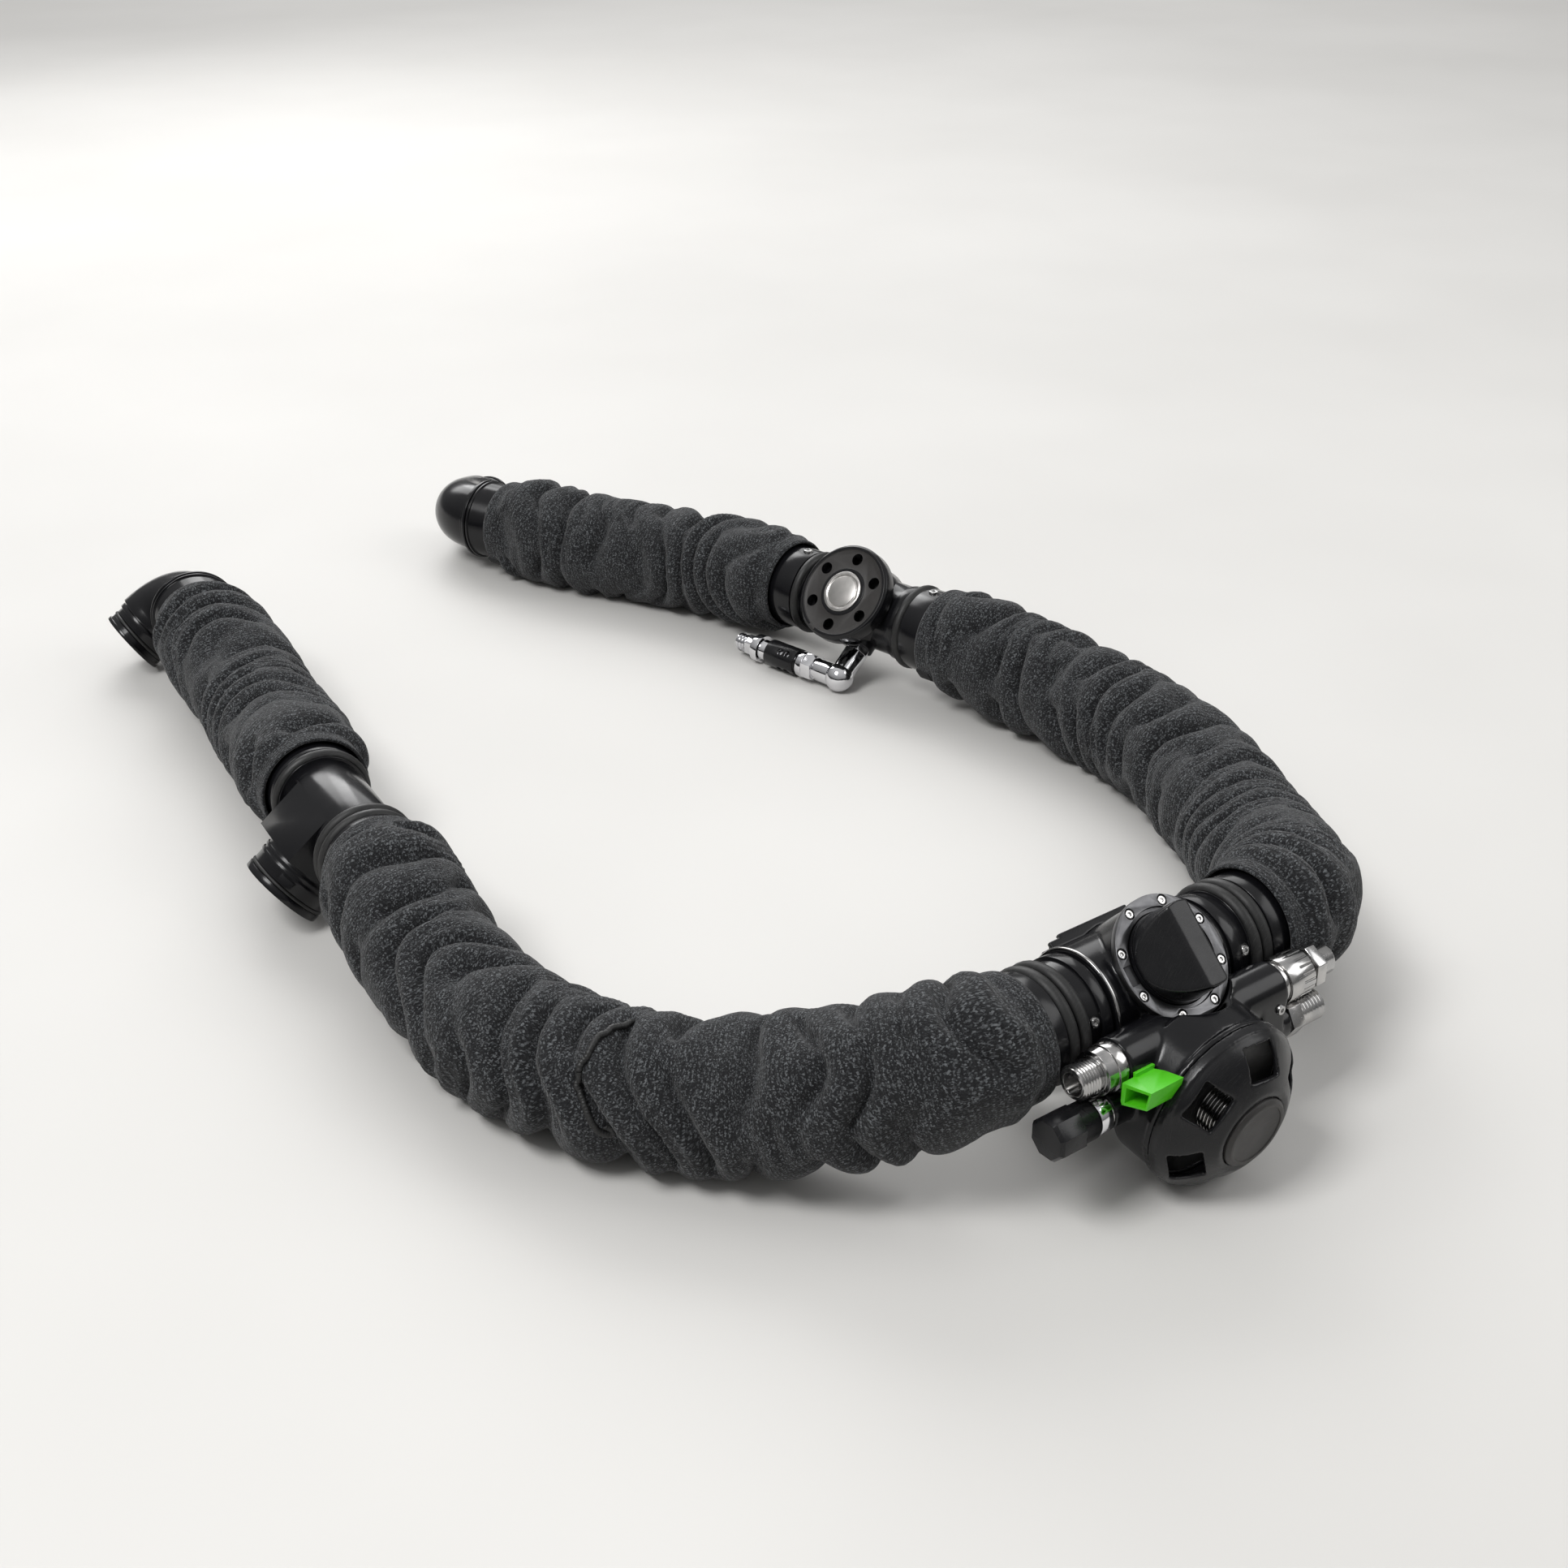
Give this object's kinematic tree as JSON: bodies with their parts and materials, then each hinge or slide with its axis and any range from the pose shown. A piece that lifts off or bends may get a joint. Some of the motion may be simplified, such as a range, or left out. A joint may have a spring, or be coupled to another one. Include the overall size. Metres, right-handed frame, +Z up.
{
  "type": "rebreather_breathing_loop",
  "caption": "Breathing loop of a closed-circuit rebreather: sleeved hoses, elbow fittings, exhale tee, addition valve tee, and a bail-out valve with its own second stage",
  "frame": {"origin": "centre of the bounding box in plan, on the table it rests on", "axes": "+X along the bail-out valve barrel toward the gas coupling, +Y from the bail-out valve toward the two elbows, +Z up"},
  "size_m": [0.4708, 0.8078, 0.1072],
  "materials": {
    "knit_fabric": "charcoal open knit, matt",
    "hose_rubber": "matt black rubber",
    "seal_rubber": "satin black rubber",
    "silicone": "soft black silicone",
    "green_plastic": "bright green moulded plastic",
    "chrome": "polished plate",
    "steel": "machined stainless",
    "grey_plastic": "dark grey, fine grained",
    "aluminium": "turned aluminium",
    "black_plastic": "semi-gloss black",
    "black_anodised": "satin black anodised aluminium"
  },
  "bodies": {
    "loop": {"hose_1": "hose_rubber", "hose_2": "hose_rubber", "hose_3": "hose_rubber", "hose_4": "hose_rubber", "cover_1": "knit_fabric", "cover_2": "knit_fabric", "cover_3": "knit_fabric", "cover_4": "knit_fabric", "connector_1a": "black_anodised", "connector_1b": "black_anodised", "connector_2a": "black_anodised", "connector_2b": "black_anodised", "connector_3a": "black_anodised", "connector_3b": "black_anodised", "connector_4a": "black_anodised", "connector_4b": "black_anodised", "bumper_rings": "seal_rubber", "valve_body": "black_anodised", "left_barrel": "black_anodised", "right_barrel": "black_anodised", "seam_ring": "steel", "barrel_seals": "seal_rubber", "retaining_ring": "steel", "hud_rail": "black_anodised", "mouthpiece": "silicone", "mouthpiece_tie": "black_plastic", "check_valves": "silicone", "stage_cover": "black_plastic", "purge_spring": "steel", "stage_diaphragm": "seal_rubber", "valve_tube": "steel", "knob_clip": "chrome", "gas_inlet": "steel", "gas_coupling": "steel", "union_nut": "steel", "small_screws": "steel", "green_clip": "green_plastic"},
    "left_elbow": {"left_elbow": "black_anodised", "left_elbow_seals": "seal_rubber"},
    "right_elbow": {"right_elbow": "black_anodised", "right_elbow_seals": "seal_rubber"},
    "exhale_tee": {"tee_body": "black_anodised", "tee_seals": "seal_rubber"},
    "addition_tee": {"adv_body": "black_anodised", "adv_seals": "seal_rubber", "adv_cap": "grey_plastic", "adv_spring": "steel", "adv_diaphragm": "seal_rubber", "shutoff_stud": "chrome"},
    "addition_button": {"adv_button": "aluminium"},
    "shutoff": {"shutoff_elbow": "chrome", "shutoff_body": "chrome"},
    "shutoff_slider": {"shutoff_slider": "black_plastic"},
    "lever": {"rotor": "black_anodised", "lever_knob": "black_plastic"},
    "purge": {"purge_button": "grey_plastic"},
    "demand": {"demand_lever": "steel"},
    "knob": {"adjusting_knob": "black_plastic"},
    "sleeve": {"coupling_sleeve": "black_anodised"}
  },
  "joints": [
    {"name": "left_elbow_swivel", "type": "hinge", "parent": "loop", "child": "left_elbow", "pos_m": [-0.123, 0.329, 0.0383], "axis": [0.1908, 0.9816, 0], "continuous": true},
    {"name": "right_elbow_swivel", "type": "hinge", "parent": "loop", "child": "right_elbow", "pos_m": [0.0836, 0.3733, 0.031], "axis": [-0.3746, 0.9272, 0], "continuous": true},
    {"name": "exhale_tee_swivel", "type": "hinge", "parent": "loop", "child": "exhale_tee", "pos_m": [-0.1845, 0.0155, 0.0432], "axis": [-0.1564, -0.9877, 0], "continuous": true},
    {"name": "addition_tee_swivel", "type": "hinge", "parent": "loop", "child": "addition_tee", "pos_m": [0.184, 0.073, 0.036], "axis": [0.1736, -0.9848, 0], "continuous": true},
    {"name": "addition_button_press", "type": "slide", "parent": "addition_tee", "child": "addition_button", "axis": [0.776, 0.1368, -0.6157], "range_m": [0, 0.003], "stiffness_N_per_m": 900, "springref_m": -0.001, "deforming": ["adv_spring"]},
    {"name": "shutoff_swivel", "type": "hinge", "parent": "addition_tee", "child": "shutoff", "pos_m": [0.18574, 0.06315, 0.036], "axis": [-0.7904, -0.1394, -0.5965], "range_deg": [-60, 60]},
    {"name": "shutoff_slide", "type": "slide", "parent": "shutoff", "child": "shutoff_slider", "axis": [-0.1736, 0.9848, 0], "range_m": [0, 0.005]},
    {"name": "mode_lever", "type": "hinge", "parent": "loop", "child": "lever", "pos_m": [-0.014, -0.325, 0.0622], "axis": [0, -0.6947, 0.7193], "range_deg": [0, 90]},
    {"name": "purge_press", "type": "slide", "parent": "loop", "child": "purge", "axis": [0, 0.9877, 0.1564], "range_m": [0, 0.003], "stiffness_N_per_m": 900, "springref_m": -0.001, "deforming": ["purge_spring"]},
    {"name": "demand_lever_hinge", "type": "hinge", "parent": "loop", "child": "demand", "pos_m": [-0.014, -0.3624, 0.0432], "axis": [1, 0, 0], "range_deg": [0, 8.49]},
    {"name": "knob_turn", "type": "hinge", "parent": "loop", "child": "knob", "pos_m": [-0.014, -0.3624, 0.0432], "axis": [1, 0, 0], "continuous": true},
    {"name": "coupling_sleeve_slide", "type": "slide", "parent": "loop", "child": "sleeve", "axis": [1, 0, 0], "range_m": [0, 0.0025], "stiffness_N_per_m": 600, "springref_m": -0.001}
  ],
  "couplings": [
    {"joint": "demand_lever_hinge", "follows": "purge_press", "rad_per_m": 49.4}
  ]
}
